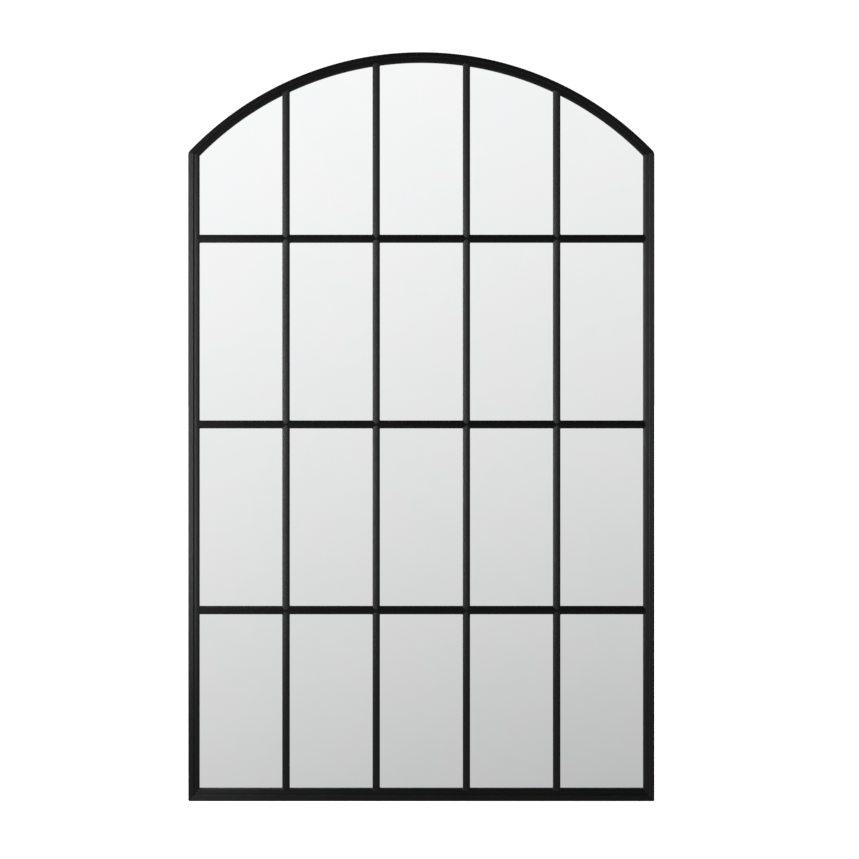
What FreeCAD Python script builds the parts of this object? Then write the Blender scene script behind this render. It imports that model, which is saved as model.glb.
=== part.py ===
import FreeCAD, Part
import os
import math

from FreeCAD import Vector

# Arched window mirror: a mitred frame of hollow stepped steel section with a
# segmental top, round-nosed glazing bars lapped flush at their crossings, and
# a separate mirror pane in each cell, bedded on a backing board from behind.
#
# Own frame, millimetres: X to the right as seen from the front, Y from the
# front (negative) to the back (positive), Z up. The origin is the middle of
# the bottom edge, halfway through the depth.

# ------------------------------------------------------------ driving sizes
WIDTH = 996.0            # over the uprights
HEIGHT = 1600.0          # bottom edge to the top of the arch
RISE = 214.0             # rise of the arch above its springing

Y_FRONT = -17.5          # front of the raised outer rim
Y_LEDGE = -14.0          # front of the inner ledge and of the bars' noses
Y_GLASS = -4.0           # front of the glass, back of ledge and noses
GLASS_T = 4.0
TAPE_T = 1.2
BOARD_T = 4.0
Y_BACK = 9.5             # back of the frame
BUMPER_T = 8.0           # the bumpers reach Y = 17.5

STILE_W = 22.3           # face widths, outer edge to inner edge
RAIL_W = 24.5
ARCH_W = 20.1
RIM_F = 11.0 / 22.3      # share of the face that is raised rim
WALL_F = 17.2 / 22.3     # share of the face in front of the rebate's wall
SHEET = 1.2              # wall of the hollow section
EDGE_R = 0.9             # rounding of the rim's edges

BAR_V = 15.5             # upright glazing bar, across the nose
BAR_H = 16.8             # cross bar, across the nose
BAR_SIDE = 4.5           # straight side of the nose above the glass
V_DROP = 0.2             # the uprights' crowns lie this far behind the cross bars'
WEB_T = 3.0              # web between two panes
LAP_GAP = 0.1            # play in the lapped crossings

ROW_Z = (406.3, 804.3, 1202.3)   # centres of the cross bars
N_COLS = 5

PANE_GAP = 0.8           # pane and board edge to the rebate's wall
PANE_WEB = 1.0           # pane edge to a bar's web

TAPE_W, TAPE_L = 20.0, 150.0

CLIP_W = 12.0
CLIP_T = 1.2
SCREW_R = 1.5
SCREW_PLAY = 0.05

STRAP_W = 11.6
STRAP_T = 1.2
STRAP_L = 48.0
RING_R = 1.6             # wire radius
RING_PLAY = 0.15         # wire to eye
RING_HALF = 8.2          # half width of the ring's centre line
RING_ARM = 10.0          # straight arm before the round end
RING_FILLET = 2.2
RING_TILT = 4.6          # the ring lies on its strap, so it hangs this far out
HANG_U = 10.0            # hanger's centre line in from the outer edge
HANG_Z = 1290.0          # height of the ring's axis
HANG_SCREWS = (27.0, 40.0)

BUMPER_R = 6.0
BUMPER_U = 8.0
BUMPER_Z = (60.0, 1350.0)

# --------------------------------------------------------- derived geometry
XO = WIDTH / 2.0
XI = XO - STILE_W
R_OUT = (XO ** 2 + RISE ** 2) / (2.0 * RISE)
ZC = HEIGHT - R_OUT
Z_SPRING = HEIGHT - RISE
R_IN = R_OUT - ARCH_W
Z_SPRING_IN = ZC + math.sqrt(R_IN ** 2 - XI ** 2)
CLEAR_W = (2.0 * XI - (N_COLS - 1) * BAR_V) / N_COLS
COL_X = tuple(-XI + CLEAR_W + BAR_V / 2.0 + i * (CLEAR_W + BAR_V) for i in range(N_COLS - 1))
Y_WEB_END = Y_GLASS + GLASS_T + TAPE_T
Y_LAP = (Y_GLASS + Y_WEB_END) / 2.0
Y_BOARD = Y_WEB_END
Y_BOARD_BACK = Y_BOARD + BOARD_T
EYE_OUT = RING_R + RING_PLAY + STRAP_T
Y_AXIS = Y_BACK + EYE_OUT
X_HANG = XO - HANG_U

os.makedirs("parts", exist_ok=True)


def save(name, shape):
    if isinstance(shape, (list, tuple)):
        shape = Part.makeCompound(list(shape))
    for s in shape.Solids:
        if not s.isValid() or s.Volume <= 0:
            print("BAD SOLID in", name)
    shape.exportStep("parts/%s.step" % name)
    print("%-24s solids %2d  volume %10.0f mm3" % (name, len(shape.Solids), shape.Volume))


def box(x0, x1, y0, y1, z0, z1):
    return Part.makeBox(x1 - x0, y1 - y0, z1 - z0, Vector(x0, y0, z0))


def poly_wire(pts):
    return Part.makePolygon([Vector(*p) for p in pts] + [Vector(*pts[0])])


# Closed outline of the frame section as (u, y): u runs in from the outer edge.
# Corners marked with a radius are rounded.


def section_edges(w, off, place):
    """Edges of the stepped section, inset by off, placed in 3-D by place(u, y)."""
    rim = w * RIM_F - off
    wall = w * WALL_F - off
    nose = w - off
    yf, yl, yg, yb = Y_FRONT + off, Y_LEDGE + off, Y_GLASS - off, Y_BACK - off
    r = EDGE_R if off == 0 else 0.3       # the sheet's inside is bent tighter
    # the ledge's inner edge is rounded like half of a glazing bar's nose, in
    # proportion to the face, so that the sections meet line to line at a mitre
    half = BAR_V / 2.0 * w / STILE_W
    drop = Y_GLASS - BAR_SIDE - Y_LEDGE
    big = (half ** 2 + drop ** 2) / (2.0 * drop)
    cu, cy = w - half, Y_LEDGE + big
    rr = big - off

    def P(u, y):
        return place(u, y)

    def arc(c, rad, t0, t1):
        tm = (t0 + t1) / 2.0
        f = lambda t: P(c[0] + rad * math.cos(t), c[1] + rad * math.sin(t))
        return Part.Arc(f(t0), f(tm), f(t1)).toShape()

    e = []
    # outer front edge, rounded
    e.append(arc((off + r, yf + r), r, math.pi, 1.5 * math.pi))
    e.append(Part.makeLine(P(off + r, yf), P(rim - r, yf)))
    e.append(arc((rim - r, yf + r), r, 1.5 * math.pi, 2.0 * math.pi))
    # the step down to the ledge, then the ledge's flat
    e.append(Part.makeLine(P(rim, yf + r), P(rim, yl)))
    e.append(Part.makeLine(P(rim, yl), P(cu, yl)))
    # round nose down to the side
    t_top = -math.pi / 2.0
    t_side = -math.acos(min(1.0, (nose - cu) / rr)) if nose - cu < rr else 0.0
    e.append(arc((cu, cy), rr, t_top, t_side))
    ys = cy + rr * math.sin(t_side)
    e.append(Part.makeLine(P(nose, ys), P(nose, yg)))
    e.append(Part.makeLine(P(nose, yg), P(wall, yg)))
    e.append(Part.makeLine(P(wall, yg), P(wall, yb)))
    e.append(Part.makeLine(P(wall, yb), P(off, yb)))
    e.append(Part.makeLine(P(off, yb), P(off, yf + r)))
    return e


def section_face(w, off, place):
    return Part.Face(Part.Wire(section_edges(w, off, place)))


def straight_member(w, place, along):
    """Hollow member and its filled outline, extruded by the vector along."""
    solid = section_face(w, 0.0, place).extrude(along)
    core = section_face(w, SHEET, place).extrude(along)
    return solid, core


def wedge_keep(p_out, p_in, side, reach=3000.0):
    """Half space (a big prism along Y) on one side of the line p_out - p_in."""
    dx, dz = p_in[0] - p_out[0], p_in[1] - p_out[1]
    n = math.hypot(dx, dz)
    dx, dz = dx / n, dz / n
    nx, nz = (-dz, dx) if side > 0 else (dz, -dx)
    a = (p_out[0] - dx * reach, p_out[1] - dz * reach)
    b = (p_out[0] + dx * reach, p_out[1] + dz * reach)
    c = (b[0] + nx * reach, b[1] + nz * reach)
    d = (a[0] + nx * reach, a[1] + nz * reach)
    w = poly_wire([(p[0], -60.0, p[1]) for p in (a, b, c, d)])
    return Part.Face(w).extrude(Vector(0, 120, 0))


# ------------------------------------------------------------------- frame
bot_out_l, bot_in_l = (-XO, 0.0), (-XI, RAIL_W)
top_out_l, top_in_l = (-XO, Z_SPRING), (-XI, Z_SPRING_IN)

# left stile: outer edge at X = -XO, section in the plane Z = const
stile_fill, stile_core = straight_member(
    STILE_W, lambda u, y: Vector(-XO + u, y, -5.0), Vector(0, 0, Z_SPRING + 30.0))
keep_up = wedge_keep(bot_out_l, bot_in_l, +1)      # above the bottom mitre
keep_down = wedge_keep(top_out_l, top_in_l, -1)    # below the top mitre
stile_fill = stile_fill.common(keep_up).common(keep_down)
stile = stile_fill.cut(stile_core)

# bottom rail: outer edge at Z = 0
rail_fill, rail_core = straight_member(
    RAIL_W, lambda u, y: Vector(-XO - 5.0, y, u), Vector(WIDTH + 10.0, 0, 0))
keep_rail_l = wedge_keep(bot_out_l, bot_in_l, -1)
keep_rail_r = wedge_keep((XO, 0.0), (XI, RAIL_W), +1)
rail_fill = rail_fill.common(keep_rail_l).common(keep_rail_r)
rail = rail_fill.cut(rail_core)

# arch: the section turned about the arch's centre
ARCH_A = math.degrees(math.asin(XO / R_OUT)) + 3.0


def turn_section(off):
    a = math.radians(90.0 + ARCH_A)

    def place(u, y):
        r = R_OUT - u
        return Vector(r * math.cos(a), y, ZC + r * math.sin(a))
    f = section_face(ARCH_W, off, place)
    return f.revolve(Vector(0, 0, ZC), Vector(0, 1, 0), 2.0 * ARCH_A)


arch_fill = turn_section(0.0)
arch_core = turn_section(SHEET)
keep_arch_l = wedge_keep(top_out_l, top_in_l, +1)
keep_arch_r = wedge_keep((XO, Z_SPRING), (XI, Z_SPRING_IN), -1)
arch_fill = arch_fill.common(keep_arch_l).common(keep_arch_r)
arch = arch_fill.cut(arch_core)

mirror_x = lambda s: s.mirror(Vector(0, 0, 0), Vector(1, 0, 0))
stile_fill_r = mirror_x(stile_fill)


# ---------------------------------------------------------------- fastenings
def rot_z_to_y(shape):
    """Turn a shape built along +Z so that it points along +Y."""
    s = shape.copy()
    s.rotate(Vector(0, 0, 0), Vector(1, 0, 0), -90.0)
    return s


def pan_screw(length=8.5, head_r=3.4, head_h=2.3):
    """Pan-head screw on the Y axis: head's underside at Y = 0, head towards +Y."""
    hr, hh, flat = head_r, head_h, 2.0
    e = [
        Part.makeLine(Vector(0, 0, -length), Vector(SCREW_R * 0.4, 0, -length)),
        Part.Arc(Vector(SCREW_R * 0.4, 0, -length), Vector(SCREW_R * 0.8, 0, -length + 0.8),
                 Vector(SCREW_R, 0, -length + 2.0)).toShape(),
        Part.makeLine(Vector(SCREW_R, 0, -length + 2.0), Vector(SCREW_R, 0, 0)),
        Part.makeLine(Vector(SCREW_R, 0, 0), Vector(hr, 0, 0)),
        Part.makeLine(Vector(hr, 0, 0), Vector(hr, 0, hh * 0.42)),
        Part.Arc(Vector(hr, 0, hh * 0.42), Vector(hr * 0.86, 0, hh * 0.83), Vector(flat, 0, hh)).toShape(),
        Part.makeLine(Vector(flat, 0, hh), Vector(0, 0, hh)),
        Part.makeLine(Vector(0, 0, hh), Vector(0, 0, -length)),
    ]
    s = Part.Face(Part.Wire(e)).revolve(Vector(0, 0, 0), Vector(0, 0, 1), 360.0)
    arm = 1.6             # the recess stays within the head's flat top
    cross = Part.makeBox(2 * arm, 0.8, 3.0, Vector(-arm, -0.4, hh - 1.2)).fuse(
        Part.makeBox(0.8, 2 * arm, 3.0, Vector(-0.4, -arm, hh - 1.2))).removeSplitter()
    cross.rotate(Vector(0, 0, 0), Vector(0, 0, 1), 30.0)
    s = s.cut(cross)
    return rot_z_to_y(s)


def hole_y(x, z, r, y0, y1):
    return Part.makeCylinder(r, y1 - y0, Vector(x, y0, z), Vector(0, 1, 0))


# Where the board clips stand: a point on the rebate's wall and the direction
# in (towards the board) there.
clip_spots = []
wall_x = XO - STILE_W * WALL_F
for z in (180.0, 540.0, 900.0, 1160.0):
    clip_spots.append((-wall_x, z, 1.0, 0.0))
    clip_spots.append((wall_x, z, -1.0, 0.0))
for x in (-300.0, 0.0, 300.0):
    clip_spots.append((x, RAIL_W * WALL_F, 0.0, 1.0))
for deg in (-36.0, -18.0, 0.0, 18.0, 36.0):
    a = math.radians(deg)
    r = R_OUT - ARCH_W * WALL_F
    clip_spots.append((r * math.sin(a), ZC + r * math.cos(a), -math.sin(a), -math.cos(a)))

CLIP_FOOT = 10.5         # foot on the frame, out from the rebate's wall
CLIP_SCREW = 5.5         # screw, out from the rebate's wall
CLIP_LIP = 11.0


def clip_at(x, z, dx, dz):
    """Offset clip: foot on the frame's back, drop beside the wall, lip on the board."""
    y0, y1 = Y_BOARD_BACK, Y_BACK
    t = CLIP_T
    pts = [(-CLIP_FOOT, y1), (0.5, y1), (0.5, y0), (CLIP_LIP, y0), (CLIP_LIP, y0 + t),
           (0.5 + t, y0 + t), (0.5 + t, y1 + t), (-CLIP_FOOT, y1 + t)]
    wire = poly_wire([(p, y, -CLIP_W / 2.0) for p, y in pts])
    s = Part.Face(wire).extrude(Vector(0, 0, CLIP_W))
    edges = [e for e in s.Edges
             if abs(e.Vertexes[0].X - e.Vertexes[-1].X) < 1e-6
             and abs(e.Vertexes[0].Y - e.Vertexes[-1].Y) < 1e-6
             and abs(e.Vertexes[0].Z - e.Vertexes[-1].Z) > CLIP_W - 0.01
             and 0.4 < e.Vertexes[0].X < 0.6 + t]
    outer = [e for e in edges if abs(e.Vertexes[0].X - 0.5) < 0.01 and abs(e.Vertexes[0].Y - y0) < 0.01
             or abs(e.Vertexes[0].X - 0.5 - t) < 0.01 and abs(e.Vertexes[0].Y - y1 - t) < 0.01]
    s = s.makeFillet(1.0, outer)
    s = s.cut(Part.makeCylinder(SCREW_R + 0.3, 10.0, Vector(-CLIP_SCREW, y1 - 2.0, 0), Vector(0, 1, 0)))
    ang = math.degrees(math.atan2(dz, dx))
    # local +X is 'in'; turn about Y so that it points along (dx, dz)
    s.rotate(Vector(0, 0, 0), Vector(0, 1, 0), -ang)
    s.translate(Vector(x, 0, z))
    return s


clips, clip_screws, pilot = [], [], []
screw_t = pan_screw()
for (x, z, dx, dz) in clip_spots:
    clips.append(clip_at(x, z, dx, dz))
    sx, sz = x - dx * CLIP_SCREW, z - dz * CLIP_SCREW
    s = screw_t.copy()
    s.rotate(Vector(0, 0, 0), Vector(0, 1, 0), 17.0 * len(clips))
    s.translate(Vector(sx, Y_BACK + CLIP_T, sz))
    clip_screws.append(s)
    pilot.append(hole_y(sx, sz, SCREW_R + SCREW_PLAY, Y_BACK - 4.0, Y_BACK + 1.0))


# ------------------------------------------------------------------ hangers
def strap_solid(sign):
    """Strip folded round the ring's straight side, two layers on the stile."""
    yb = Y_BACK
    ro, ri = EYE_OUT, EYE_OUT - STRAP_T
    top = yb + 2.0 * STRAP_T
    A = (-9.0, top)                       # where the upper layer leaves the lower
    C = (0.0, yb + ro)
    # tangent from A to the outer circle, on the back (+Y) side
    dx, dy = C[0] - A[0], C[1] - A[1]
    d = math.hypot(dx, dy)
    base = math.atan2(dy, dx)
    # direction from C to the tangent point
    t_ang = math.pi + base - math.acos(ro / d)
    T = (C[0] + ro * math.cos(t_ang), C[1] + ro * math.sin(t_ang))
    ti = (C[0] + ri * math.cos(t_ang), C[1] + ri * math.sin(t_ang))
    # direction of the tangent line, from T towards A
    ux, uy = A[0] - T[0], A[1] - T[1]
    L = math.hypot(ux, uy)
    ux, uy = ux / L, uy / L
    lowtop = yb + STRAP_T
    k = (lowtop - ti[1]) / uy
    B = (ti[0] + ux * k, lowtop)

    def V(p):
        return Vector(-STRAP_W / 2.0, p[1], p[0])

    def arc3(r, t0, t1):
        tm = (t0 + t1) / 2.0
        f = lambda t: V((C[0] + r * math.cos(t), C[1] + r * math.sin(t)))
        return Part.Arc(f(t0), f(tm), f(t1)).toShape()

    bottom = -math.pi / 2.0
    outer = Part.Wire([
        Part.makeLine(V((-STRAP_L, yb)), V((0.0, yb))),
        arc3(ro, bottom, t_ang),
        Part.makeLine(V(T), V(A)),
        Part.makeLine(V(A), V((-STRAP_L, top))),
        Part.makeLine(V((-STRAP_L, top)), V((-STRAP_L, yb))),
    ])
    inner = Part.Wire([
        Part.makeLine(V(B), V((0.0, lowtop))),
        arc3(ri, bottom, t_ang),
        Part.makeLine(V(ti), V(B)),
    ])
    s = Part.Face(outer).extrude(Vector(STRAP_W, 0, 0))
    s = s.cut(Part.Face(inner).extrude(Vector(STRAP_W, 0, 0)))
    # round the strap's free end
    keep = box(-STRAP_W, STRAP_W, yb - 5, yb + 20, -STRAP_L + STRAP_W / 2.0, 20.0).fuse(
        Part.makeCylinder(STRAP_W / 2.0, 25.0, Vector(0, yb - 5, -STRAP_L + STRAP_W / 2.0), Vector(0, 1, 0)))
    s = s.common(keep)
    for d in HANG_SCREWS:
        s = s.cut(hole_y(0, -d, SCREW_R + 0.3, yb - 2, yb + 10))
    s.translate(Vector(sign * X_HANG, 0, HANG_Z))
    return s


def ring_solid(sign):
    """D-ring, built hanging down from its straight side, then tilted off the strap."""
    h, f, arm, r = RING_HALF, RING_FILLET, RING_ARM, RING_R

    def V(x, s):
        return Vector(x, 0, -s)
    c45 = math.cos(math.pi / 4.0)
    edges = [
        Part.makeLine(V(0, 0), V(h - f, 0)),
        Part.Arc(V(h - f, 0), V(h - f + f * c45, f - f * c45), V(h, f)).toShape(),
        Part.makeLine(V(h, f), V(h, arm)),
        Part.Arc(V(h, arm), V(h * c45, arm + h * c45), V(0, arm + h)).toShape(),
    ]
    path = Part.Wire(edges)
    prof = Part.Wire([Part.makeCircle(r, V(0, 0), Vector(1, 0, 0))])
    half = path.makePipeShell([prof], True, False)
    if half.ShapeType != "Solid":
        half = Part.makeSolid(half)
    if half.Volume < 0:
        half.reverse()
    other = half.mirror(Vector(0, 0, 0), Vector(1, 0, 0))
    s = half.fuse(other).removeSplitter()
    s.rotate(Vector(0, 0, 0), Vector(1, 0, 0), RING_TILT)
    s.translate(Vector(sign * X_HANG, Y_AXIS, HANG_Z))
    return s


hanger_screws = []
pilot_hang = []
for sign in (-1, 1):
    for i, d in enumerate(HANG_SCREWS):
        s = screw_t.copy()
        s.rotate(Vector(0, 0, 0), Vector(0, 1, 0), 31.0 + 40.0 * i + 9.0 * sign)
        s.translate(Vector(sign * X_HANG, Y_BACK + 2.0 * STRAP_T, HANG_Z - d))
        hanger_screws.append(s)
        pilot_hang.append(hole_y(sign * X_HANG, HANG_Z - d, SCREW_R + SCREW_PLAY, Y_BACK - 4.0, Y_BACK + 1.0))

all_pilots = Part.makeCompound(pilot + pilot_hang)
stile_l = stile.cut(all_pilots)
stile_r = mirror_x(stile).cut(all_pilots)
rail = rail.cut(all_pilots)
arch = arch.cut(all_pilots)

save("stile_left", stile_l)
save("stile_right", stile_r)
save("bottom_rail", rail)
save("arch_top", arch)


# ------------------------------------------------------------- glazing bars
def nose_face(width, place, off=0.0, web=True, drop=0.0):
    """Section of a glazing bar as (s, y): s across the bar, web behind the glass line."""
    front = Y_LEDGE + drop
    crown = Y_GLASS - BAR_SIDE - front
    nose_r = ((width / 2.0) ** 2 + crown ** 2) / (2.0 * crown)
    h = width / 2.0 - off
    yb = Y_GLASS - off
    cy = front + nose_r
    rr = nose_r - off
    t = math.acos(h / rr)
    ys = cy - rr * math.sin(t)
    P = place
    e = [
        Part.makeLine(P(-h, yb), P(-h, ys)),
        Part.Arc(P(-h, ys), P(0, front + off), P(h, ys)).toShape(),
        Part.makeLine(P(h, ys), P(h, yb)),
    ]
    w = WEB_T / 2.0
    if web:
        e += [
            Part.makeLine(P(h, yb), P(w, yb)),
            Part.makeLine(P(w, yb), P(w, Y_WEB_END)),
            Part.makeLine(P(w, Y_WEB_END), P(-w, Y_WEB_END)),
            Part.makeLine(P(-w, Y_WEB_END), P(-w, yb)),
            Part.makeLine(P(-w, yb), P(-h, yb)),
        ]
    else:
        e.append(Part.makeLine(P(h, yb), P(-h, yb)))
    return Part.Face(Part.Wire(e))


h_len = Vector(2 * XI + 2 * (STILE_W - STILE_W * WALL_F), 0, 0)
x_start = -XI - STILE_W * (1 - WALL_F)


def h_bar(zc, hollow=True):
    place = lambda s, y: Vector(x_start, y, zc + s)
    full = nose_face(BAR_H, place).extrude(h_len)
    core = nose_face(BAR_H, place, SHEET, web=False).extrude(h_len)
    nose = nose_face(BAR_H, place, 0.0, web=False).extrude(h_len)
    return full, core, nose


z_bar0 = RAIL_W * WALL_F


def v_bar(xc):
    z_top = ZC + math.sqrt((R_OUT - ARCH_W * WALL_F) ** 2 - (abs(xc) - WEB_T / 2.0) ** 2) + 5.0
    ext = Vector(0, 0, z_top - z_bar0)
    place = lambda s, y: Vector(xc + s, y, z_bar0)
    full = nose_face(BAR_V, place, drop=V_DROP).extrude(ext)
    core = nose_face(BAR_V, place, SHEET, web=False, drop=V_DROP).extrude(ext)
    return full, core


h_full = [h_bar(z) for z in ROW_Z]

# cross bars: whole noses, the back half of the web notched for the uprights
for i, (full, core, nose) in enumerate(h_full):
    s = full.cut(core)
    for xc in COL_X:
        s = s.cut(box(xc - WEB_T / 2.0 - LAP_GAP, xc + WEB_T / 2.0 + LAP_GAP,
                      Y_LAP, Y_WEB_END + 1.0, ROW_Z[i] - 5.0, ROW_Z[i] + 5.0))
    s = s.cut(stile_fill).cut(stile_fill_r)
    save("glazing_bar_h%d" % (i + 1), s)

# uprights: noses coped to the cross bars, the front half of the web notched
for i, xc in enumerate(COL_X):
    full, core = v_bar(xc)
    s = full.cut(core)
    for j, zc in enumerate(ROW_Z):
        s = s.cut(h_full[j][2])
        s = s.cut(box(xc - 5.0, xc + 5.0, Y_GLASS - 1.0, Y_LAP + 0.0,
                      zc - WEB_T / 2.0 - LAP_GAP, zc + WEB_T / 2.0 + LAP_GAP))
    s = s.cut(rail_fill).cut(arch_fill)
    # the bar is the piece inside the frame; a tip left beyond the arch goes
    s = max(s.Solids, key=lambda q: q.Volume)
    save("glazing_bar_v%d" % (i + 1), s)

# --------------------------------------------------------------- the panes
x_edges = [-XO + STILE_W * WALL_F + PANE_GAP]
for xc in COL_X:
    x_edges += [xc - WEB_T / 2.0 - PANE_WEB, xc + WEB_T / 2.0 + PANE_WEB]
x_edges.append(XO - STILE_W * WALL_F - PANE_GAP)
z_edges = [RAIL_W * WALL_F + PANE_GAP]
for zc in ROW_Z:
    z_edges += [zc - WEB_T / 2.0 - PANE_WEB, zc + WEB_T / 2.0 + PANE_WEB]
z_edges.append(HEIGHT)
R_PANE = R_OUT - ARCH_W * WALL_F - PANE_GAP
disc = Part.makeCylinder(R_PANE, 60.0, Vector(0, -30.0, ZC), Vector(0, 1, 0))

tapes = []
for r in range(len(ROW_Z) + 1):
    for c in range(N_COLS):
        x0, x1 = x_edges[2 * c], x_edges[2 * c + 1]
        z0, z1 = z_edges[2 * r], z_edges[2 * r + 1]
        p = box(x0, x1, Y_GLASS, Y_GLASS + GLASS_T, z0, z1)
        if r == len(ROW_Z):
            p = p.common(disc)
        save("mirror_r%dc%d" % (r + 1, c + 1), p)
        if r == len(ROW_Z):
            za = z0 + 12.0
        else:
            za = (z0 + z1) / 2.0 - TAPE_L / 2.0
        for xm in (x0 + 38.0, x1 - 38.0):
            tapes.append(box(xm - TAPE_W / 2.0, xm + TAPE_W / 2.0,
                             Y_GLASS + GLASS_T, Y_BOARD, za, za + TAPE_L))
save("mounting_tape", tapes)

# -------------------------------------------------------------- back pieces
board = box(x_edges[0], x_edges[-1], Y_BOARD, Y_BOARD_BACK, z_edges[0], ZC).fuse(
    box(x_edges[0], x_edges[-1], Y_BOARD, Y_BOARD_BACK, ZC, HEIGHT).common(disc)).removeSplitter()
save("backing_board", board)
save("board_clips", clips)
save("clip_screws", clip_screws)
for sign, side in ((-1, "left"), (1, "right")):
    save("hanger_strap_" + side, strap_solid(sign))
    save("d_ring_" + side, ring_solid(sign))
save("hanger_screws", hanger_screws)


def bumper(x, z):
    """Moulded bumper: tapered puck with a rounded rim and a flat wall face."""
    R, T, ed = BUMPER_R, BUMPER_T, 1.6
    rt = R - 0.9
    e = [
        Part.makeLine(Vector(0, 0, 0), Vector(R, 0, 0)),
        Part.makeLine(Vector(R, 0, 0), Vector(rt, 0, T - ed)),
        Part.Arc(Vector(rt, 0, T - ed), Vector(rt - ed * (1 - math.cos(math.pi / 4)), 0, T - ed * (1 - math.sin(math.pi / 4))),
                 Vector(rt - ed, 0, T)).toShape(),
        Part.makeLine(Vector(rt - ed, 0, T), Vector(0, 0, T)),
        Part.makeLine(Vector(0, 0, T), Vector(0, 0, 0)),
    ]
    s = Part.Face(Part.Wire(e)).revolve(Vector(0, 0, 0), Vector(0, 0, 1), 360.0)
    s = rot_z_to_y(s)
    s.translate(Vector(x, Y_BACK, z))
    return s


for sx, side in ((-1, "left"), (1, "right")):
    for z, lev in ((BUMPER_Z[0], "lower"), (BUMPER_Z[1], "upper")):
        save("wall_bumper_%s_%s" % (lev, side), bumper(sx * (XO - BUMPER_U), z))

print("R_OUT %.2f ZC %.2f Z_SPRING %.2f Z_SPRING_IN %.2f CLEAR_W %.2f COL_X %s Y_AXIS %.3f X_HANG %.1f"
      % (R_OUT, ZC, Z_SPRING, Z_SPRING_IN, CLEAR_W, [round(x, 3) for x in COL_X], Y_AXIS, X_HANG))
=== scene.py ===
import math
import random

import bmesh
import bpy
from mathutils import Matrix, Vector


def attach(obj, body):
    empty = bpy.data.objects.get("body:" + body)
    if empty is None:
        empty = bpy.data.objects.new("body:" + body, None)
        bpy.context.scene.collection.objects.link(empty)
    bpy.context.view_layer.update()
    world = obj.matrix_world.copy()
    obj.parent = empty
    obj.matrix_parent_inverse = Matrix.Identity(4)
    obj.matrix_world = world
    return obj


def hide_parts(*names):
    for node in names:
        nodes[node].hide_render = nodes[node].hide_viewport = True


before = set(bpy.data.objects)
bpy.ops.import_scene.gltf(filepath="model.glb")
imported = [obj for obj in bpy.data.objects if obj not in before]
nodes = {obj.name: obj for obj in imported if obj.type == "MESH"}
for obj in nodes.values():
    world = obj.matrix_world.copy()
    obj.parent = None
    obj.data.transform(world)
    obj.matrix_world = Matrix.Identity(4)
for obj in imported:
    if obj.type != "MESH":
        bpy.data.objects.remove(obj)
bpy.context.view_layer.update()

scene = bpy.context.scene
scene.view_settings.view_transform = "Standard"
scene.view_settings.look = "None"
scene.view_settings.exposure = 0.0
scene.view_settings.gamma = 1.0


# ------------------------------------------------------------------ node help
class Graph:
    """A short way to write a node tree."""

    def __init__(self, tree):
        self.t = tree
        tree.nodes.clear()

    def n(self, kind, ins=None, **props):
        node = self.t.nodes.new(kind)
        for k, v in props.items():
            setattr(node, k, v)
        for k, v in (ins or {}).items():
            self.put(node.inputs[k], v)
        return node

    def put(self, socket, v):
        if isinstance(v, bpy.types.NodeSocket):
            self.t.links.new(v, socket)
        elif isinstance(v, bpy.types.Node):
            self.t.links.new(v.outputs[0], socket)
        else:
            socket.default_value = v

    def math(self, op, a, b=None, c=None, clamp=False):
        node = self.t.nodes.new("ShaderNodeMath")
        node.operation = op
        node.use_clamp = clamp
        for i, v in enumerate((a, b, c)):
            if v is not None:
                self.put(node.inputs[i], v)
        return node.outputs[0]

    def remap(self, v, a, b, c, d, kind="SMOOTHSTEP"):
        node = self.t.nodes.new("ShaderNodeMapRange")
        node.interpolation_type = kind
        for k, s in (("Value", v), ("From Min", a), ("From Max", b), ("To Min", c), ("To Max", d)):
            self.put(node.inputs[k], s)
        return node.outputs["Result"]

    def mix(self, f, a, b, blend="MIX"):
        node = self.t.nodes.new("ShaderNodeMix")
        node.data_type = "RGBA"
        node.blend_type = blend
        self.put(node.inputs["Factor"], f)
        self.put(node.inputs[6], a)
        self.put(node.inputs[7], b)
        return node.outputs[2]

    def noise(self, vec, scale, detail=2.0, rough=0.5, dist=0.0, out="Fac", **kw):
        node = self.n("ShaderNodeTexNoise", {"Vector": vec, "Scale": scale, "Detail": detail,
                                              "Roughness": rough, "Distortion": dist}, **kw)
        return node.outputs[out]

    def bump(self, height, strength, distance, normal=None):
        node = self.n("ShaderNodeBump", {"Strength": strength, "Distance": distance, "Height": height})
        if normal is not None:
            self.put(node.inputs["Normal"], normal)
        return node.outputs["Normal"]


def material(name):
    m = bpy.data.materials.new(name)
    m.use_nodes = True
    g = Graph(m.node_tree)
    b = g.n("ShaderNodeBsdfPrincipled")
    o = g.n("ShaderNodeOutputMaterial")
    g.put(o.inputs["Surface"], b.outputs[0])
    return m, g, b


def object_coords(g):
    return g.n("ShaderNodeTexCoord").outputs["Object"]


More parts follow.
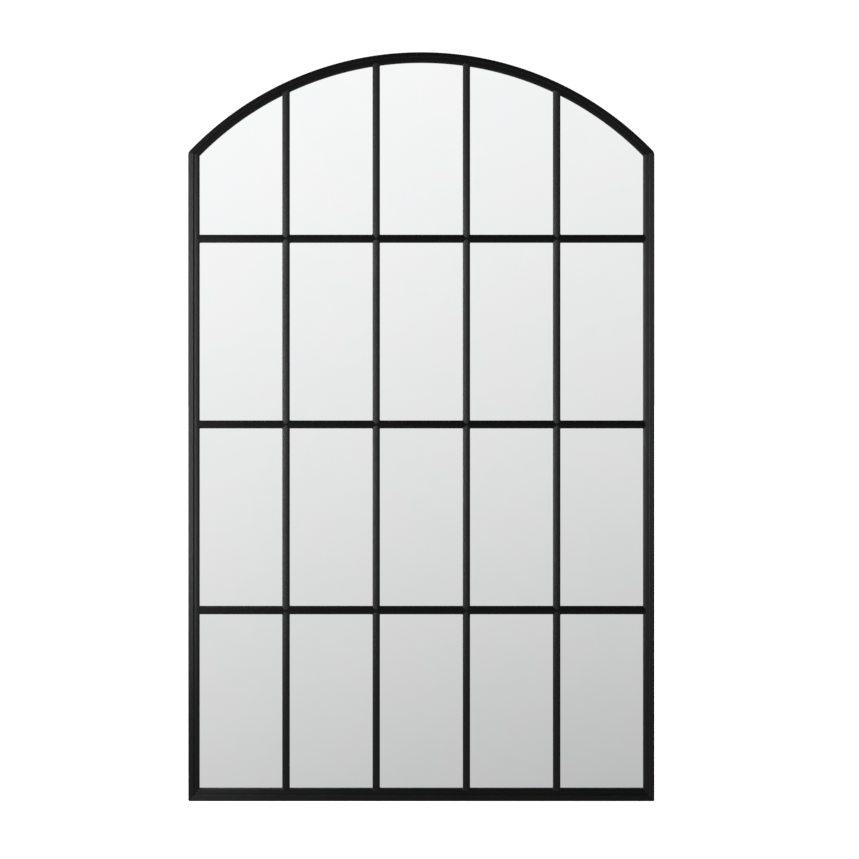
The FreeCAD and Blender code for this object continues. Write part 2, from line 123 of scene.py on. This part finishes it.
# ------------------------------------------------------------------ materials
def make_black_coat(name, across, rough=(0.50, 0.60), ior=1.5):
    """Satin powder coat over drawn steel. Faint draw lines run along a member, so its
    sheen spreads across it: across is that direction, or "radial" on the arch."""
    m, g, b = material(name)
    co = object_coords(g)
    cloud = g.noise(co, 6.0, 3.0, 0.55)
    fine = g.noise(co, 420.0, 2.0, 0.6)
    tone = g.math("ADD", g.math("MULTIPLY", cloud, 0.7), g.math("MULTIPLY", fine, 0.3))
    col = g.mix(g.remap(tone, 0.35, 0.65, 0.0, 1.0), (0.0010, 0.0010, 0.0011, 1), (0.0026, 0.0025, 0.0025, 1))
    # corners rubbed a little thinner and smoother by handling
    wear = g.n("ShaderNodeAttribute", attribute_name="wear").outputs["Fac"]
    rub = g.math("MULTIPLY", wear, g.remap(g.noise(co, 55.0, 4.0, 0.65), 0.42, 0.66, 0.25, 1.0))
    g.put(b.inputs["Base Color"], g.mix(g.math("MULTIPLY", rub, 0.6), col, (0.0135, 0.0130, 0.0125, 1)))
    soft = g.remap(tone, 0.3, 0.7, rough[0], rough[1])
    g.put(b.inputs["Roughness"], g.math("SUBTRACT", soft, g.math("MULTIPLY", rub, 0.08)))
    # a lower ior here is painted shade: it darkens the level bars and the arch against the uprights
    b.inputs["IOR"].default_value = ior
    b.inputs["Anisotropic"].default_value = ANISO
    if across == "radial":
        rad = g.n("ShaderNodeVectorMath", {0: co, 1: (0.0, 0.0, ARCH_ZC)}, operation="SUBTRACT")
        tan = g.n("ShaderNodeVectorMath", {0: rad.outputs[0], 1: (1.0, 0.0, 1.0)}, operation="MULTIPLY")
        tan = g.n("ShaderNodeVectorMath", {0: tan.outputs[0]}, operation="NORMALIZE")
        g.put(b.inputs["Tangent"], tan.outputs[0])
    else:
        g.put(b.inputs["Tangent"], g.n("ShaderNodeCombineXYZ", {"X": across[0], "Y": across[1], "Z": across[2]}).outputs[0])
    peel = g.noise(co, 700.0, 1.5, 0.5)
    grain = g.noise(co, 2600.0, 2.0, 0.6)
    n1 = g.bump(peel, 0.35, 0.00025)
    g.put(b.inputs["Normal"], g.bump(grain, 0.25, 0.00006, n1))
    return m


def make_mirror(i, tilt):
    """Silvered float glass. The film is never quite even: a faint drift between a cool and
    a rosy tone, level roller lines, a slow wave, and each pane set a hair out of true."""
    m, g, b = material("mirror_glass_%02d" % i)
    co = object_coords(g)
    shift = g.n("ShaderNodeMapping", {"Vector": co, "Location": (0.37 * i, 0.0, 0.61 * i)}).outputs[0]
    drift = g.noise(shift, 7.0, 2.0, 0.5)
    col = g.mix(g.remap(drift, 0.36, 0.64, 0.0, 1.0), (0.9180, 0.9440, 0.9395, 1), (0.9440, 0.9370, 0.9480, 1))
    lines = g.n("ShaderNodeMapping", {"Vector": shift, "Scale": (6.0, 1.0, 95.0)}).outputs[0]
    lines = g.noise(lines, 1.0, 2.0, 0.55)
    col = g.mix(g.remap(lines, 0.35, 0.65, 0.0, 0.010), col, (0.80, 0.81, 0.81, 1))
    g.put(b.inputs["Base Color"], col)
    b.inputs["Metallic"].default_value = 1.0
    film = g.noise(shift, 9.0, 4.0, 0.6)
    g.put(b.inputs["Roughness"], g.remap(film, 0.35, 0.75, 0.004, 0.022))
    nrm = g.n("ShaderNodeNewGeometry").outputs["Normal"]
    nrm = g.n("ShaderNodeVectorMath", {0: nrm, 1: (tilt[0], 0.0, tilt[1])}, operation="ADD").outputs[0]
    nrm = g.n("ShaderNodeVectorMath", {0: nrm}, operation="NORMALIZE").outputs[0]
    wave = g.noise(shift, 3.2, 1.0, 0.4)
    g.put(b.inputs["Normal"], g.bump(wave, 0.5, 0.0006, nrm))
    return m


def make_hardboard():
    m, g, b = material("hardboard")
    co = object_coords(g)
    cloud = g.noise(co, 3.0, 4.0, 0.6)
    fibre = g.noise(co, 260.0, 5.0, 0.65, 1.5)
    tone = g.math("ADD", g.math("MULTIPLY", cloud, 0.55), g.math("MULTIPLY", fibre, 0.45))
    col = g.mix(g.remap(tone, 0.35, 0.68, 0.0, 1.0), (0.175, 0.102, 0.056, 1), (0.300, 0.195, 0.115, 1))
    fleck = g.remap(g.noise(co, 900.0, 2.0, 0.5), 0.62, 0.72, 0.0, 0.55)
    g.put(b.inputs["Base Color"], g.mix(fleck, col, (0.42, 0.30, 0.19, 1)))
    b.inputs["Roughness"].default_value = 0.74
    n1 = g.bump(fibre, 0.5, 0.0003)
    g.put(b.inputs["Normal"], n1)
    return m


def make_foam():
    m, g, b = material("foam_tape")
    co = object_coords(g)
    cells = g.n("ShaderNodeTexVoronoi", {"Vector": co, "Scale": 900.0})
    g.put(b.inputs["Base Color"], g.mix(cells.outputs["Distance"], (0.80, 0.80, 0.78, 1), (0.70, 0.70, 0.68, 1)))
    b.inputs["Roughness"].default_value = 0.85
    g.put(b.inputs["Normal"], g.bump(cells.outputs["Distance"], 0.6, 0.0004))
    return m


def make_zinc():
    m, g, b = material("zinc")
    co = object_coords(g)
    spangle = g.noise(co, 300.0, 3.0, 0.6)
    col = g.mix(spangle, (0.55, 0.555, 0.56, 1), (0.68, 0.675, 0.655, 1))
    g.put(b.inputs["Base Color"], col)
    b.inputs["Metallic"].default_value = 1.0
    g.put(b.inputs["Roughness"], g.remap(spangle, 0.3, 0.7, 0.26, 0.40))
    g.put(b.inputs["Normal"], g.bump(g.noise(co, 1500.0, 2.0, 0.5), 0.2, 0.00008))
    return m


def make_rubber():
    m, g, b = material("bumper_rubber")
    co = object_coords(g)
    mot = g.noise(co, 500.0, 3.0, 0.6)
    g.put(b.inputs["Base Color"], g.mix(mot, (0.020, 0.020, 0.021, 1), (0.040, 0.040, 0.040, 1)))
    g.put(b.inputs["Roughness"], g.remap(mot, 0.3, 0.7, 0.55, 0.72))
    g.put(b.inputs["Normal"], g.bump(g.noise(co, 2200.0, 2.0, 0.5), 0.35, 0.0001))
    return m


ANISO = 0.9
ARCH_ZC = 0.91355        # height of the arch's centre
BLACK_UP = make_black_coat("black_coat_upright", (1.0, 0.0, 0.0))
BLACK_ACROSS = make_black_coat("black_coat_level", (0.0, 0.0, 1.0), (0.62, 0.72))
# painted shade: the level bars and the arch are the same paint as the uprights but get a lower IOR, so they reflect
# less and look darker, as the light falling on them would make them
BLACK_BAR = make_black_coat("black_coat_level_bar", (0.0, 0.0, 1.0), (0.62, 0.72), 1.40)
BLACK_ARCH = make_black_coat("black_coat_arch", "radial", (0.62, 0.72), 1.40)
HARDBOARD = make_hardboard()
FOAM = make_foam()
ZINC = make_zinc()
RUBBER = make_rubber()


def dress(obj, mat):
    obj.data.materials.clear()
    obj.data.materials.append(mat)


pane_no = 0
set_by_hand = random.Random(20)
for name in sorted(nodes):
    o = nodes[name]
    if name.startswith("mirror_"):
        pane_no += 1
        tilt = (set_by_hand.uniform(-0.0022, 0.0022), set_by_hand.uniform(-0.0022, 0.0022))
        dress(o, make_mirror(pane_no, tilt))
    elif name == "mounting_tape":
        dress(o, FOAM)
    elif name == "backing_board":
        dress(o, HARDBOARD)
    elif name in ("board_clips", "clip_screws", "hanger_screws") or name.startswith(("hanger_strap", "d_ring")):
        dress(o, ZINC)
    elif name.startswith("wall_bumper"):
        dress(o, RUBBER)
    elif name == "arch_top":
        dress(o, BLACK_ARCH)
    elif name.startswith("glazing_bar_h"):
        dress(o, BLACK_BAR)
    elif name == "bottom_rail":
        dress(o, BLACK_ACROSS)
    else:
        dress(o, BLACK_UP)

# --------------------------------------------------------------- frame shapes
# Millimetres here, turned to metres when a mesh is made. These follow the CAD's
# sizes; the welds' small fillets and the softened edges are the looks' own.
XO, HEIGHT, Z_SPRING = 498.0, 1600.0, 1386.0
STILE_W, RAIL_W, ARCH_W = 22.3, 24.5, 20.1
Y_FRONT, Y_LEDGE, Y_GLASS, Y_BACK = -17.5, -14.0, -4.0, 9.5
RIM, WALL, SIDE = 11.0, 17.2, 4.5
BAR_V, BAR_H, V_DROP = 15.5, 16.8, 0.2
ROW_Z = (406.3, 804.3, 1202.3)
WEB, WEB_END = 1.5, 1.15
XI = XO - STILE_W
R_OUT = (XO ** 2 + 214.0 ** 2) / (2.0 * 214.0)
ZC = HEIGHT - R_OUT
Z_SPRING_IN = ZC + math.sqrt((R_OUT - ARCH_W) ** 2 - XI ** 2)
CLEAR = (2.0 * XI - 4.0 * BAR_V) / 5.0
COL_X = tuple(-XI + CLEAR + BAR_V / 2.0 + i * (CLEAR + BAR_V) for i in range(4))


def arc_pts(cx, cy, r, a0, a1, n):
    return [(cx + r * math.cos(math.radians(a0 + (a1 - a0) * i / n)),
             cy + r * math.sin(math.radians(a0 + (a1 - a0) * i / n))) for i in range(n + 1)]


def frame_outline():
    """(u, y, wear) round the stepped section, u in from the outer edge of a stile."""
    half, drop = BAR_V / 2.0, Y_GLASS - SIDE - Y_LEDGE
    big = (half ** 2 + drop ** 2) / (2.0 * drop)
    cu, cy = STILE_W - half, Y_LEDGE + big
    end = math.degrees(math.acos(half / big))
    out = []
    out += [(u, y, 1.0) for u, y in arc_pts(0.9, Y_FRONT + 0.9, 0.9, 180, 270, 7)]
    out += [(3.5, Y_FRONT, 0.0), (RIM - 3.0, Y_FRONT, 0.0)]
    out += [(u, y, 1.0) for u, y in arc_pts(RIM - 0.9, Y_FRONT + 0.9, 0.9, 270, 360, 7)]
    out += [(u, y, 0.0) for u, y in arc_pts(RIM + 0.5, Y_LEDGE - 0.5, 0.5, 180, 90, 5)]
    out += [(u, y, 0.0) for u, y in arc_pts(cu, cy, big, -90, -end, 16)]
    out += [(STILE_W, Y_GLASS - SIDE + 0.6, 0.2), (STILE_W, Y_GLASS - 0.25, 0.0), (STILE_W - 0.25, Y_GLASS, 0.0)]
    out += [(WALL, Y_GLASS, 0.0), (WALL, Y_BACK - 0.4, 0.3)]
    out += [(u, y, 0.6) for u, y in arc_pts(WALL - 0.4, Y_BACK - 0.4, 0.4, 0, 90, 3)]
    out += [(u, y, 0.6) for u, y in arc_pts(0.4, Y_BACK - 0.4, 0.4, 90, 180, 3)]
    return out


def bar_outline(width, drop):
    """(s, y, wear) round a glazing bar's nose."""
    h, front = width / 2.0, Y_LEDGE + drop
    crown = Y_GLASS - SIDE - front
    r = (h ** 2 + crown ** 2) / (2.0 * crown)
    a = math.degrees(math.acos(h / r))
    out = [(-h, Y_GLASS, 0.0)]
    out += [(s, y, 0.15) for s, y in arc_pts(0.0, front + r, r, -180 + a, -a, 24)]
    # the web between the panes, behind the nose
    out += [(h, Y_GLASS, 0.0), (WEB, Y_GLASS, 0.0), (WEB, WEB_END, 0.0), (-WEB, WEB_END, 0.0), (-WEB, Y_GLASS, 0.0)]
    return out


def nose_half(width, drop, depth):
    """Half width of a nose at a height above the glass."""
    front = Y_LEDGE + drop
    crown = Y_GLASS - SIDE - front
    r = ((width / 2.0) ** 2 + crown ** 2) / (2.0 * crown)
    if depth <= SIDE:
        return width / 2.0
    v = (Y_GLASS - depth) - (front + r)
    return math.sqrt(max(0.0, r * r - v * v))


def mesh_object(name, verts, faces, mat, body="mirror", wear=None, smooth=40.0, closed=False):
    me = bpy.data.meshes.new(name)
    me.from_pydata([(x * 0.001, y * 0.001, z * 0.001) for x, y, z in verts], [], faces)
    if wear is not None:
        at = me.attributes.new("wear", "FLOAT", "POINT")
        at.data.foreach_set("value", [float(w) for w in wear])
    bm = bmesh.new()
    bm.from_mesh(me)
    bmesh.ops.remove_doubles(bm, verts=bm.verts, dist=1e-6)
    bmesh.ops.recalc_face_normals(bm, faces=bm.faces)
    bm.to_mesh(me)
    bm.free()
    me.polygons.foreach_set("use_smooth", [True] * len(me.polygons))
    me.set_sharp_from_angle(angle=math.radians(smooth))
    me.materials.append(mat)
    o = bpy.data.objects.new(name, me)
    scene.collection.objects.link(o)
    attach(o, body)
    return o


def loft(rings, cap=False):
    """Faces through rings of equally many points."""
    n = len(rings[0])
    verts = [p for r in rings for p in r]
    faces = []
    for i in range(len(rings) - 1):
        for j in range(n):
            k = (j + 1) % n
            faces.append((i * n + j, i * n + k, (i + 1) * n + k, (i + 1) * n + j))
    if cap:
        faces.append(tuple(range(n - 1, -1, -1)))
        faces.append(tuple((len(rings) - 1) * n + j for j in range(n)))
    return verts, faces


OUT = frame_outline()
WEAR = [p[2] for p in OUT]
CORNER = 2.6 / STILE_W         # rounding of the ground bottom corners, as a share of the face


def corner_pt(t, phi):
    """Share of the face along a stile's two ways (in from the side, up from the bottom)
    on the rounded bottom corner: phi 0 is on the stile, 45 on the mitre."""
    if t >= CORNER:
        return t, t if phi > 0 else max(t, CORNER)
    r = CORNER - t
    return CORNER - r * math.cos(math.radians(phi)), CORNER - r * math.sin(math.radians(phi))


TOP_R = 14.0                   # the weld at the springing, ground round on the outside
SPRING_A = math.asin(XO / R_OUT)
D2 = (math.cos(SPRING_A), math.sin(SPRING_A))


def top_corner(u, s, cx, cz):
    """A point of the left springing, s along the member from the mitre (below it on the
    stile, past it on the arch), for the outline's line u whose mitre point is (cx, cz)."""
    turn = math.pi / 2.0 - SPRING_A
    r = max(0.0, TOP_R - u)
    T = r * math.tan(turn / 2.0)
    if r <= 0.0 or abs(s) >= T:
        return None
    bx, bz = D2[0], D2[1] - 1.0
    L = math.hypot(bx, bz)
    bx, bz = bx / L, bz / L
    k = r / math.cos(turn / 2.0)
    ox, oz = cx + bx * k, cz + bz * k
    a = math.atan2(-bz, -bx) - s / T * turn / 2.0
    return ox + r * math.cos(a), oz + r * math.sin(a)


def stile_rings(sign):
    rings = []
    for phi in (45.0, 36.0, 27.0, 18.0, 9.0, 0.0):
        ring = []
        for u, y, w in OUT:
            a, b = corner_pt(u / STILE_W, phi)
            ring.append((sign * (XO - a * STILE_W), y, b * RAIL_W))
        rings.append(ring)
    for i in range(1, 24):
        rings.append([(sign * (XO - u), y, 26.0 + (Z_SPRING - 40.0) * i / 24.0) for u, y, w in OUT])
    for s in (-5.8, -5.0, -4.0, -3.0, -2.0, -1.0, 0.0):
        ring = []
        for u, y, w in OUT:
            zc = Z_SPRING + u / STILE_W * (Z_SPRING_IN - Z_SPRING)
            p = top_corner(u, s, -XO + u, zc) or (-XO + u, zc + s)
            ring.append((-sign * p[0], y, p[1]))
        rings.append(ring)
    return rings


def rail_rings():
    rings = []
    phis = (45.0, 36.0, 27.0, 18.0, 9.0, 0.0)
    for side in (-1, 1):
        part = []
        for phi in phis:
            ring = []
            for u, y, w in OUT:
                a, b = corner_pt(u / STILE_W, phi)
                ring.append((side * (XO - b * STILE_W), y, a * RAIL_W))
            part.append(ring)
        rings += part if side < 0 else part[::-1]
        if side < 0:
            for i in range(1, 16):
                rings.append([(-XO + 24.0 + (2 * XO - 48.0) * i / 16.0, y, u / STILE_W * RAIL_W) for u, y, w in OUT])
    return rings


def arch_rings(steps=220):
    ends = []
    for u, y, w in OUT:
        r = R_OUT - u / STILE_W * ARCH_W
        # the mitre line from the outer to the inner springing point
        px, pz, qx, qz = XO, Z_SPRING - ZC, XI, Z_SPRING_IN - ZC
        dx, dz = qx - px, qz - pz
        A, B, C = dx * dx + dz * dz, 2 * (px * dx + pz * dz), px * px + pz * pz - r * r
        s = (-B - math.sqrt(max(0.0, B * B - 4 * A * C))) / (2 * A)
        ends.append(math.atan2(px + s * dx, pz + s * dz))
    rings = []
    near = (0.0, 1.0, 2.0, 3.0, 4.0, 5.0, 5.8)
    places = [(-1, s) for s in near] + [(0, i) for i in range(1, steps)] + [(1, s) for s in near[::-1]]
    for side, k in places:
        ring = []
        for (u, y, w), e in zip(OUT, ends):
            r = R_OUT - u / STILE_W * ARCH_W
            if side == 0:
                a0 = e - 7.0 / r
                a = -a0 + 2 * a0 * k / steps
                ring.append((r * math.sin(a), y, ZC + r * math.cos(a)))
                continue
            a = -e + k / r
            zc = Z_SPRING + u / STILE_W * (Z_SPRING_IN - Z_SPRING)
            p = top_corner(u, k, -XO + u, zc) or (r * math.sin(a), ZC + r * math.cos(a))
            ring.append((-side * p[0], y, p[1]))
        rings.append(ring)
    return rings


def add_member(node, rings, mat, out=OUT):
    v, f = loft(rings, cap=True)
    o = mesh_object(node + "_coat", v, f, mat, wear=[p[2] for p in out] * len(rings))
    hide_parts(node)
    return o


add_member("stile_left", stile_rings(-1), BLACK_UP)
add_member("stile_right", stile_rings(1), BLACK_UP)
add_member("bottom_rail", rail_rings(), BLACK_ACROSS)
add_member("arch_top", arch_rings(), BLACK_ARCH)

H_OUT, V_OUT = bar_outline(BAR_H, 0.0), bar_outline(BAR_V, V_DROP)
for i, zc in enumerate(ROW_Z):
    xs = [-XI - 3.5 + (2 * XI + 7.0) * k / 24.0 for k in range(25)]
    add_member("glazing_bar_h%d" % (i + 1), [[(x, y, zc + s) for s, y, w in H_OUT] for x in xs], BLACK_BAR, H_OUT)
for i, xc in enumerate(COL_X):
    rings = []
    z0 = RAIL_W - 3.5
    for k in range(33):
        ring = []
        for s, y, w in V_OUT:
            z1 = ZC + math.sqrt((R_OUT - ARCH_W + 3.5) ** 2 - (xc + s) ** 2)
            ring.append((xc + s, y, z0 + (z1 - z0) * k / 32.0))
        rings.append(ring)
    add_member("glazing_bar_v%d" % (i + 1), rings, BLACK_UP, V_OUT)


# ------------------------------------------------------- fillets of the welds
def frame_u(share_w, depth):
    """How far in from the outer edge the ledge's face lies at a height above the glass."""
    half, drop = BAR_V / 2.0, Y_GLASS - SIDE - Y_LEDGE
    big = (half ** 2 + drop ** 2) / (2.0 * drop)
    cu, cy = STILE_W - half, Y_LEDGE + big
    if depth <= SIDE:
        u = STILE_W
    else:
        v = (Y_GLASS - depth) - cy
        u = cu + math.sqrt(max(0.0, big * big - v * v))
    return u / STILE_W * share_w


rng = random.Random(7)
fil_v, fil_f = [], []


def add_fillet(corner, dir_a, dir_b, top):
    """A concave fillet up the valley where two members meet. corner(depth) is the
    valley's point (x, z), dir_a and dir_b run from it along the two members."""
    s0 = 1.9 + rng.uniform(-0.35, 0.55)
    levels = [0.0, 1.5, 3.0, SIDE] + [SIDE + (top - SIDE) * k / 9.0 for k in range(1, 10)]
    n = 8
    wob = rng.uniform(0, 6.28)
    base = len(fil_v)
    for li, d in enumerate(levels):
        k = max(0.0, (d - SIDE) / (top - SIDE))
        s = s0 * (1.0 - 0.88 * k ** 1.3) * (1.0 + 0.06 * math.sin(wob + 2.1 * li))
        px, pz = corner(d)
        ax, az = dir_a
        bx, bz = dir_b
        cosT = ax * bx + az * bz
        T = math.acos(max(-1.0, min(1.0, cosT)))
        mx, mz = ax + bx, az + bz
        L = math.hypot(mx, mz)
        cx, cz = px + mx / L * s / math.cos(T / 2), pz + mz / L * s / math.cos(T / 2)
        r = s * math.tan(T / 2)
        A = (px + ax * s, pz + az * s)
        B = (px + bx * s, pz + bz * s)
        a0 = math.atan2(A[1] - cz, A[0] - cx)
        a1 = math.atan2(B[1] - cz, B[0] - cx)
        da = (a1 - a0 + math.pi) % (2 * math.pi) - math.pi
        for j in range(n - 1):
            a = a0 + da * j / (n - 2)
            # the ends are pushed a hair into the members, so that no gap shows
            x, z = cx + r * math.cos(a), cz + r * math.sin(a)
            if j == 0 or j == n - 2:
                x, z = x + (px - x) * 0.05 - (mx / L) * 0.03, z + (pz - z) * 0.05 - (mz / L) * 0.03
            fil_v.append((x, Y_GLASS - d, z))
        # the root of the fillet lies inside the two members
        fil_v.append((px - mx / L * 0.25, Y_GLASS - d, pz - mz / L * 0.25))
    for li in range(len(levels) - 1):
        for j in range(n):
            k = (j + 1) % n
            fil_f.append((base + li * n + j, base + li * n + k, base + (li + 1) * n + k, base + (li + 1) * n + j))
    fil_f.append(tuple(base + j for j in range(n - 1, -1, -1)))
    fil_f.append(tuple(base + (len(levels) - 1) * n + j for j in range(n)))


def vhalf(d):
    return nose_half(BAR_V, V_DROP, d)


def hhalf(d):
    return nose_half(BAR_H, 0.0, d)


for xc in COL_X:
    for zc in ROW_Z:
        for sx in (-1, 1):
            for sz in (-1, 1):
                add_fillet(lambda d, xc=xc, zc=zc, sx=sx, sz=sz: (xc + sx * vhalf(d), zc + sz * hhalf(d)),
                           (0.0, float(sz)), (float(sx), 0.0), 9.4)
    for sx in (-1, 1):
        # foot of the upright on the bottom rail
        add_fillet(lambda d, xc=xc, sx=sx: (xc + sx * vhalf(d), frame_u(RAIL_W, d)), (0.0, 1.0), (float(sx), 0.0), 9.4)

        # head of the upright under the arch
        def head(d, xc=xc, sx=sx):
            x = xc + sx * vhalf(d)
            return x, ZC + math.sqrt((R_OUT - frame_u(ARCH_W, d)) ** 2 - x * x)
        x, z = head(0.0)
        r = math.hypot(x, z - ZC)
        tx, tz = (z - ZC) / r, -x / r
        if tx * sx < 0:
            tx, tz = -tx, -tz
        add_fillet(head, (0.0, -1.0), (tx, tz), 9.4)
for zc in ROW_Z:
    for side in (-1, 1):
        for sz in (-1, 1):
            add_fillet(lambda d, zc=zc, side=side, sz=sz: (side * (XO - frame_u(STILE_W, d)), zc + sz * hhalf(d)),
                       (0.0, float(sz)), (-float(side), 0.0), 9.4)
fillets = mesh_object("weld_fillets", fil_v, fil_f, BLACK_UP)

# ---------------------------------------------------------------------- floor
me = bpy.data.meshes.new("floor")
S = 30.0
me.from_pydata([(-S, -S, 0), (S, -S, 0), (S, S, 0), (-S, S, 0)], [], [(0, 1, 2, 3)])
floor = bpy.data.objects.new("floor", me)
scene.collection.objects.link(floor)
floor.location = (0, 0, -0.0005)
fm, fg, fb = material("floor_pale")
fco = object_coords(fg)
fg.put(fb.inputs["Base Color"], fg.mix(fg.noise(fco, 2.0, 3.0), (0.90, 0.90, 0.90, 1), (0.93, 0.93, 0.93, 1)))
fb.inputs["Roughness"].default_value = 0.9
fb.inputs["Emission Color"].default_value = (1, 1, 1, 1)
fb.inputs["Emission Strength"].default_value = 1.0
me.materials.append(fm)
floor.visible_glossy = False
floor.visible_diffuse = False

# ---------------------------------------------------------------------- light
world = bpy.data.worlds.new("studio")
scene.world = world
world.use_nodes = True
g = Graph(world.node_tree)
d = g.n("ShaderNodeTexCoord").outputs["Generated"]
sep = g.n("ShaderNodeSeparateXYZ", {"Vector": d})
X, Y, Z = sep.outputs[0], sep.outputs[1], sep.outputs[2]
xc = g.math("MINIMUM", g.math("MAXIMUM", X, -0.20), 0.30)
zc = g.math("MINIMUM", g.math("MAXIMUM", Z, -0.34), 0.24)
# the soft tone in front of the mirror: brighter up and left, darker down and right
F = g.math("ADD", 0.8566, g.math("MULTIPLY", xc, -0.3494))
F = g.math("ADD", F, g.math("MULTIPLY", zc, 0.8291))
F = g.math("ADD", F, g.math("MULTIPLY", g.math("MULTIPLY", xc, zc), 0.31))
F = g.math("ADD", F, g.math("MULTIPLY", g.math("MULTIPLY", zc, zc), -0.942))
F = g.math("ADD", F, g.math("MULTIPLY", g.math("MULTIPLY", xc, xc), 0.2886))
# dark ceiling, dim floor
F = g.math("MULTIPLY", F, g.remap(Z, 0.20, 0.33, 1.0, 0.0))
F = g.math("MULTIPLY", F, g.remap(Z, -0.45, -0.28, 0.28, 1.0))
# beyond the panes' view: a tall soft box at the left, a dim wall at the right
keep_l = g.remap(X, -0.34, -0.20, 0.0, 1.0)
keep_r = g.remap(X, 0.20, 0.34, 1.0, 0.0)
F = g.math("MULTIPLY", g.math("MULTIPLY", F, keep_l), keep_r)
left = g.math("MULTIPLY", g.math("SUBTRACT", 1.0, keep_l), g.remap(Z, -0.30, 0.25, 0.20, 0.95))
left = g.math("MULTIPLY", left, g.remap(Z, 0.35, 0.60, 1.0, 0.0))
left = g.math("ADD", left, g.math("MULTIPLY", g.math("SUBTRACT", 1.0, keep_l), g.remap(Z, -0.65, -0.35, 0.35, 0.0)))
right = g.math("MULTIPLY", g.math("SUBTRACT", 1.0, keep_r), g.remap(Z, -0.30, 0.20, 0.18, 0.45))
right = g.math("MULTIPLY", right, g.remap(Z, 0.30, 0.50, 1.0, 0.0))
right = g.math("ADD", right, g.math("MULTIPLY", g.math("SUBTRACT", 1.0, keep_r), g.remap(Z, -0.65, -0.35, 0.35, 0.0)))
F = g.math("ADD", F, g.math("ADD", left, right))
# the pale floor, seen steeply from above
F = g.math("ADD", F, g.remap(Z, -0.85, -0.50, 0.26, 0.0))
# soft light on the back of the object
F = g.math("ADD", F, g.math("MULTIPLY", g.remap(Y, 0.10, 0.45, 0.0, 1.0), g.remap(Z, -0.5, 0.4, 0.35, 1.0)))
lp = g.n("ShaderNodeLightPath")
bg_light = g.n("ShaderNodeBackground", {"Strength": 1.0})
g.put(bg_light.inputs["Color"], F)
bg_cam = g.n("ShaderNodeBackground", {"Color": (1, 1, 1, 1), "Strength": 1.1})
mixs = g.n("ShaderNodeMixShader")
g.put(mixs.inputs[0], lp.outputs["Is Camera Ray"])
g.put(mixs.inputs[1], bg_light.outputs[0])
g.put(mixs.inputs[2], bg_cam.outputs[0])
wo = g.n("ShaderNodeOutputWorld")
g.put(wo.inputs["Surface"], mixs.outputs[0])


def softbox(name, loc, target, width, height, power):
    """A panel that glows towards the target and fades out at its edges."""
    me = bpy.data.meshes.new(name)
    w, h = width / 2.0, height / 2.0
    me.from_pydata([(-w, -h, 0), (w, -h, 0), (w, h, 0), (-w, h, 0)], [], [(0, 1, 2, 3)])
    o = bpy.data.objects.new(name, me)
    scene.collection.objects.link(o)
    o.location = loc
    o.rotation_euler = (Vector(target) - Vector(loc)).to_track_quat("Z", "Y").to_euler()
    m = bpy.data.materials.new(name)
    m.use_nodes = True
    g = Graph(m.node_tree)
    sep = g.n("ShaderNodeSeparateXYZ", {"Vector": object_coords(g)})
    across = g.remap(g.math("ABSOLUTE", sep.outputs[0]), w, w * 0.2, 0.0, 1.0)
    along = g.remap(g.math("ABSOLUTE", sep.outputs[1]), h, h * 0.5, 0.0, 1.0)
    face = g.math("SUBTRACT", 1.0, g.n("ShaderNodeNewGeometry").outputs["Backfacing"])
    glow = g.math("MULTIPLY", g.math("MULTIPLY", across, along), face)
    peak = power / (math.pi * width * height * 0.6 * 0.75)
    em = g.n("ShaderNodeEmission", {"Color": (1, 1, 1, 1), "Strength": peak})
    clear = g.n("ShaderNodeBsdfTransparent")
    both = g.n("ShaderNodeMixShader")
    g.put(both.inputs[0], glow)
    g.put(both.inputs[1], clear.outputs[0])
    g.put(both.inputs[2], em.outputs[0])
    out = g.n("ShaderNodeOutputMaterial")
    g.put(out.inputs["Surface"], both.outputs[0])
    me.materials.append(m)
    o.visible_camera = False
    o.visible_shadow = False
    return o


softbox("softbox_left", (-1.30, -1.05, 1.32), (-0.45, 0.0, 1.20), 0.60, 1.70, 6.0)
softbox("strip_left", (-0.95, -0.60, 0.86), (-0.49, 0.0, 0.86), 0.34, 1.70, 12.0)

# --------------------------------------------------------------------- camera
cam_data = bpy.data.cameras.new("camera")
cam = bpy.data.objects.new("camera", cam_data)
scene.collection.objects.link(cam)
cam_data.sensor_width = 36.0
cam_data.lens = 36.0 * 3.4 / 1.8344
cam_data.shift_y = (0.794 - 0.94) / 1.8344
cam.location = (0.0175, -3.4175, 0.94)
cam.rotation_euler = (math.radians(90.0), 0.0, 0.0)
cam_data.clip_start, cam_data.clip_end = 0.05, 200.0
scene.camera = cam
